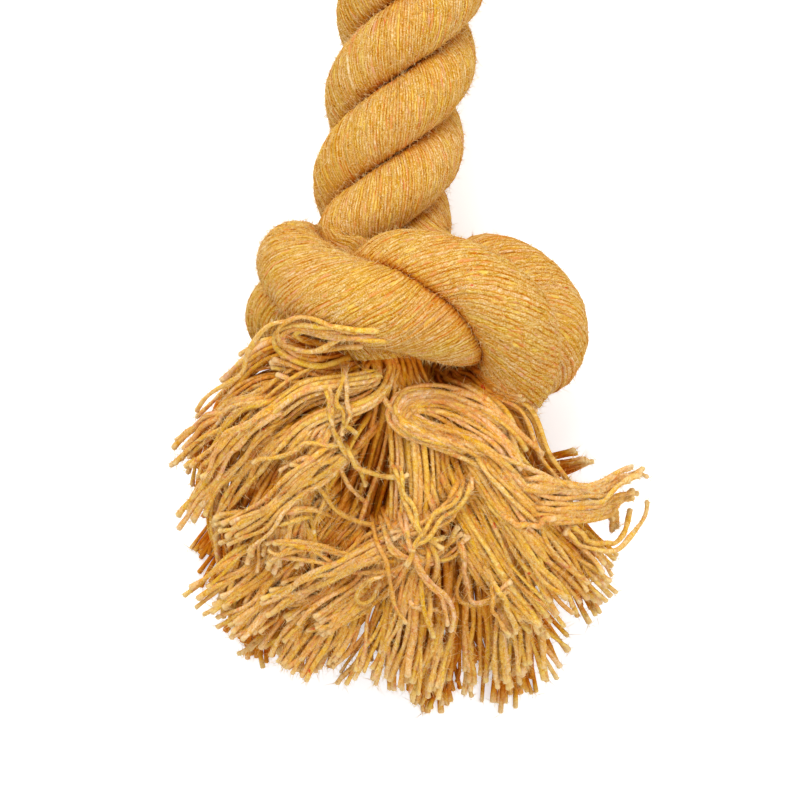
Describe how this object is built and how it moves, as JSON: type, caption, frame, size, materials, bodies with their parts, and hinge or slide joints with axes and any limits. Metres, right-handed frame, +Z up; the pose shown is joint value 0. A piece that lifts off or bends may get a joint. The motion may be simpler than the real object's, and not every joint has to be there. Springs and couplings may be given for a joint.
{
  "type": "rope dog toy",
  "caption": "Thick laid cotton rope toy for a dog, tied in a wall knot near each end, the strands' ends frayed into full yarn tassels.",
  "frame": {"origin": "on the floor under the middle of the rope, as the toy lies", "axes": "+Y along the rope, away from the knot and tassel that the picture shows; +Z up; +X across the rope, to the right of a person who looks along +Y"},
  "size_m": [0.1124, 0.363, 0.0562],
  "materials": {
    "cotton_strand": "matte, mustard, heathered, softly fuzzy",
    "cotton_yarn": "matte, mustard, heathered, frayed"
  },
  "bodies": {
    "root": {"strand_1": "cotton_strand", "strand_2": "cotton_strand", "strand_3": "cotton_strand", "near_tassel_upper_left_arch": "cotton_yarn", "near_tassel_upper_left_fall": "cotton_yarn", "near_tassel_upper_left_centre": "cotton_yarn", "near_tassel_upper_centre": "cotton_yarn", "near_tassel_upper_right_centre": "cotton_yarn", "near_tassel_right_front": "cotton_yarn", "near_tassel_right_centre": "cotton_yarn", "near_tassel_right_side": "cotton_yarn", "near_tassel_right_spray": "cotton_yarn", "near_tassel_lower_left": "cotton_yarn", "near_tassel_lower_left_centre": "cotton_yarn", "near_tassel_lower_centre": "cotton_yarn", "near_tassel_lower_right_centre": "cotton_yarn", "near_tassel_lower_right": "cotton_yarn", "far_tassel_upper_left_arch": "cotton_yarn", "far_tassel_upper_left_fall": "cotton_yarn", "far_tassel_upper_left_centre": "cotton_yarn", "far_tassel_upper_centre": "cotton_yarn", "far_tassel_upper_right_centre": "cotton_yarn", "far_tassel_right_front": "cotton_yarn", "far_tassel_right_centre": "cotton_yarn", "far_tassel_right_side": "cotton_yarn", "far_tassel_right_spray": "cotton_yarn", "far_tassel_lower_left": "cotton_yarn", "far_tassel_lower_left_centre": "cotton_yarn", "far_tassel_lower_centre": "cotton_yarn", "far_tassel_lower_right_centre": "cotton_yarn", "far_tassel_lower_right": "cotton_yarn"}
  },
  "joints": []
}
